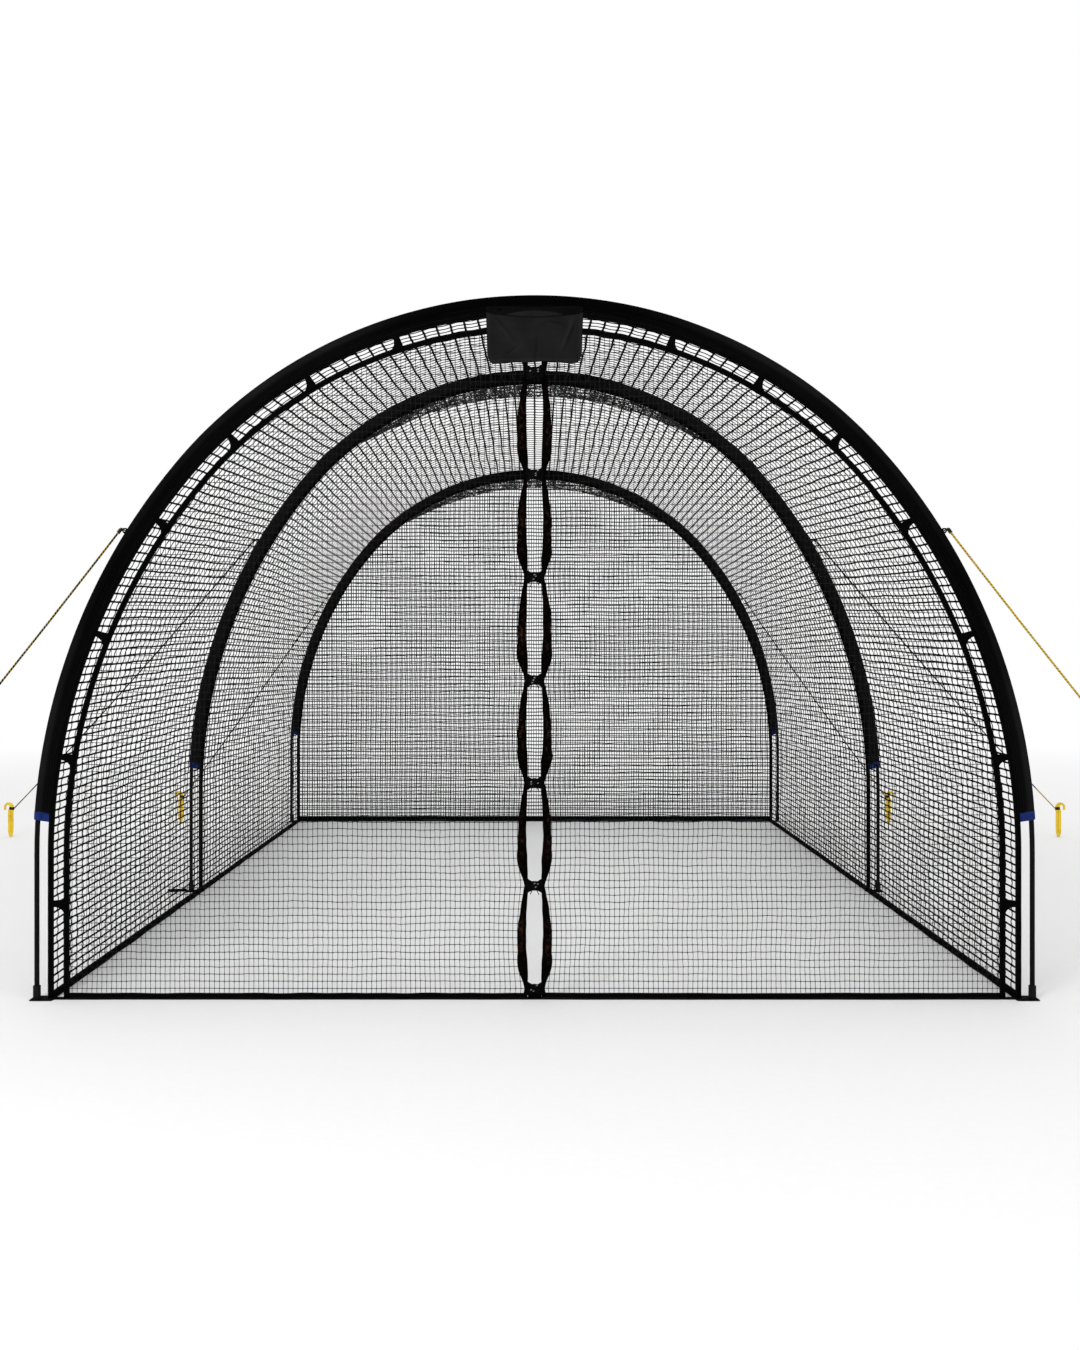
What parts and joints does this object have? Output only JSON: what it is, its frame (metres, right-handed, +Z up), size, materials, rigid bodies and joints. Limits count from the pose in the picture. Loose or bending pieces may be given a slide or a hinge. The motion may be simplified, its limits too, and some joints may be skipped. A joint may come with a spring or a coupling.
{
  "type": "golf practice net",
  "caption": "Free-standing tunnel practice net on arched bows, with knotted netting all round, a tied slit door in front, guy ropes and pegs.",
  "frame": {"origin": "on the ground under the middle of the part's box", "axes": "+Z up, -Y towards the front with the slit door, +X to the right of someone who stands inside and faces the rear"},
  "size_m": [7.29, 5.07, 2.763],
  "materials": {
    "pole_black": "black fibreglass tube, satin",
    "pin_steel": "plain zinc-plated pin",
    "cap_rubber": "moulded rubber",
    "sleeve_fabric": "close woven polyester with a slight sheen",
    "cuff_blue": "royal blue binding",
    "webbing_black": "flat woven webbing",
    "net_cord": "knotted polyethylene netting",
    "gather_net": "bunched netting",
    "door_tape": "brown-black woven tape",
    "tie_cord": "shiny black cord",
    "banner_fabric": "plain coated cloth",
    "guy_rope": "braided yellow rope",
    "peg_plastic": "moulded yellow plastic"
  },
  "bodies": {
    "cage": {"front_leg_poles": "pole_black", "mid_leg_poles": "pole_black", "rear_leg_poles": "pole_black", "front_bow_poles": "pole_black", "mid_bow_poles": "pole_black", "rear_bow_poles": "pole_black", "front_pole_pins": "pin_steel", "mid_pole_pins": "pin_steel", "rear_pole_pins": "pin_steel", "foot_caps": "cap_rubber", "front_sleeve": "sleeve_fabric", "mid_sleeve": "sleeve_fabric", "rear_sleeve": "sleeve_fabric", "sleeve_cuffs": "cuff_blue", "front_edge_webbing": "webbing_black", "mid_edge_webbing": "webbing_black", "rear_edge_webbing": "webbing_black", "front_panel_band": "webbing_black", "band_tabs": "webbing_black", "front_ground_strap": "webbing_black", "left_ground_strap": "webbing_black", "right_ground_strap": "webbing_black", "rear_ground_strap": "webbing_black", "corner_patches": "webbing_black", "guy_tabs": "webbing_black", "front_net_left": "net_cord", "front_net_right": "net_cord", "rear_net": "net_cord", "front_bay_net": "net_cord", "rear_bay_net": "net_cord", "mid_crown_gather": "gather_net", "rear_crown_gather": "gather_net", "slit_top_bands": "door_tape", "top_tie": "tie_cord", "front_left_guy_rope": "guy_rope", "front_right_guy_rope": "guy_rope", "mid_left_guy_rope": "guy_rope", "mid_right_guy_rope": "guy_rope", "rear_left_guy_rope": "guy_rope", "rear_right_guy_rope": "guy_rope", "guy_pegs": "peg_plastic"},
    "door_left": {"door_net_left": "net_cord", "door_band_left": "door_tape", "door_ties": "tie_cord"},
    "door_right": {"door_net_right": "net_cord", "door_band_right": "door_tape"},
    "banner": {"banner": "banner_fabric"}
  },
  "joints": [
    {"name": "door_left_fold", "type": "hinge", "parent": "cage", "child": "door_left", "pos_m": [-0.9, -2.4983, 0.01], "axis": [-0.3549, 0, -0.9349], "range_deg": [0, 100]},
    {"name": "door_right_fold", "type": "hinge", "parent": "cage", "child": "door_right", "pos_m": [0.9, -2.4958, 0.01], "axis": [0.3549, 0, -0.9349], "range_deg": [0, 100]},
    {"name": "banner_lift", "type": "hinge", "parent": "cage", "child": "banner", "pos_m": [0, -2.5053, 2.54], "axis": [-1, 0, 0], "range_deg": [0, 150]}
  ]
}
